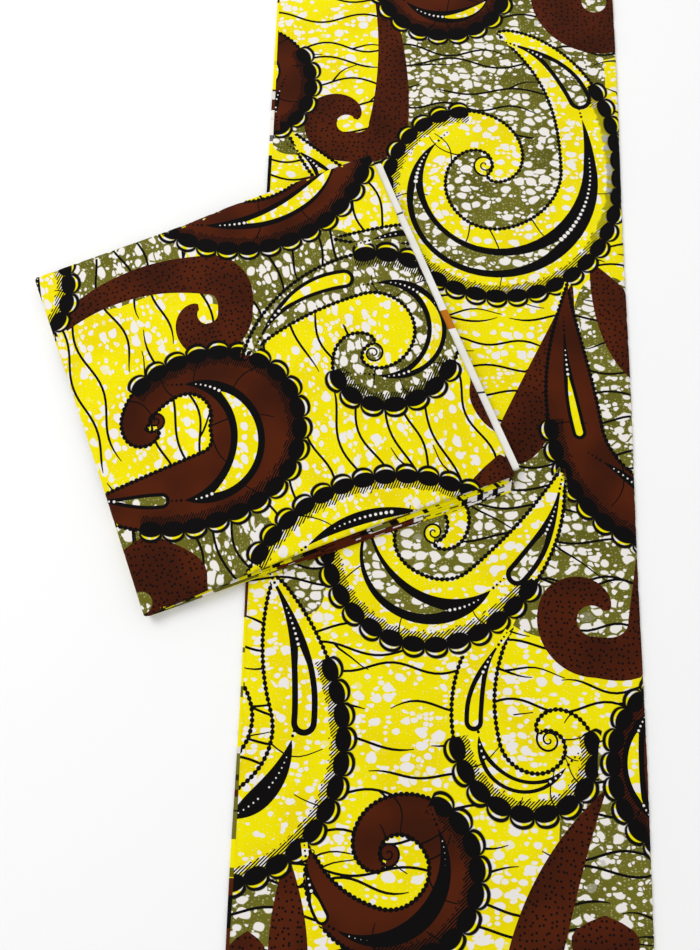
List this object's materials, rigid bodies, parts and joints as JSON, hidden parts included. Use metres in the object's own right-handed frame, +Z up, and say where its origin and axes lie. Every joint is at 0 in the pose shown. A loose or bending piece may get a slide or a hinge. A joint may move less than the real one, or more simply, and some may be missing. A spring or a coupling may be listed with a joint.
{
  "type": "african wax print fabric",
  "caption": "Cotton wax print cloth with paisley scrolls: one plaited stretch laid out flat and a folded bundle of it lying across one edge.",
  "frame": {"origin": "on the table, under the middle of the footprint's bounding box", "axes": "+X across the laid stretch, +Y along it and away from the viewer, +Z up from the table"},
  "size_m": [0.738, 1.219, 0.0215],
  "materials": {
    "printed_cotton": "smooth wax printed cotton: yellow, olive, maroon and black on white",
    "printed_cotton_layers": "folded edges of the same print, in broken bands of its colours",
    "selvedge": "plain unprinted off-white cotton"
  },
  "bodies": {
    "root": {"laid_lower_panels": "printed_cotton_layers", "laid_top_panel": "printed_cotton", "folded_lower_layers": "printed_cotton_layers", "folded_selvedge_layers": "selvedge", "folded_upper_layers": "printed_cotton_layers", "folded_top_panel": "printed_cotton"}
  },
  "joints": []
}
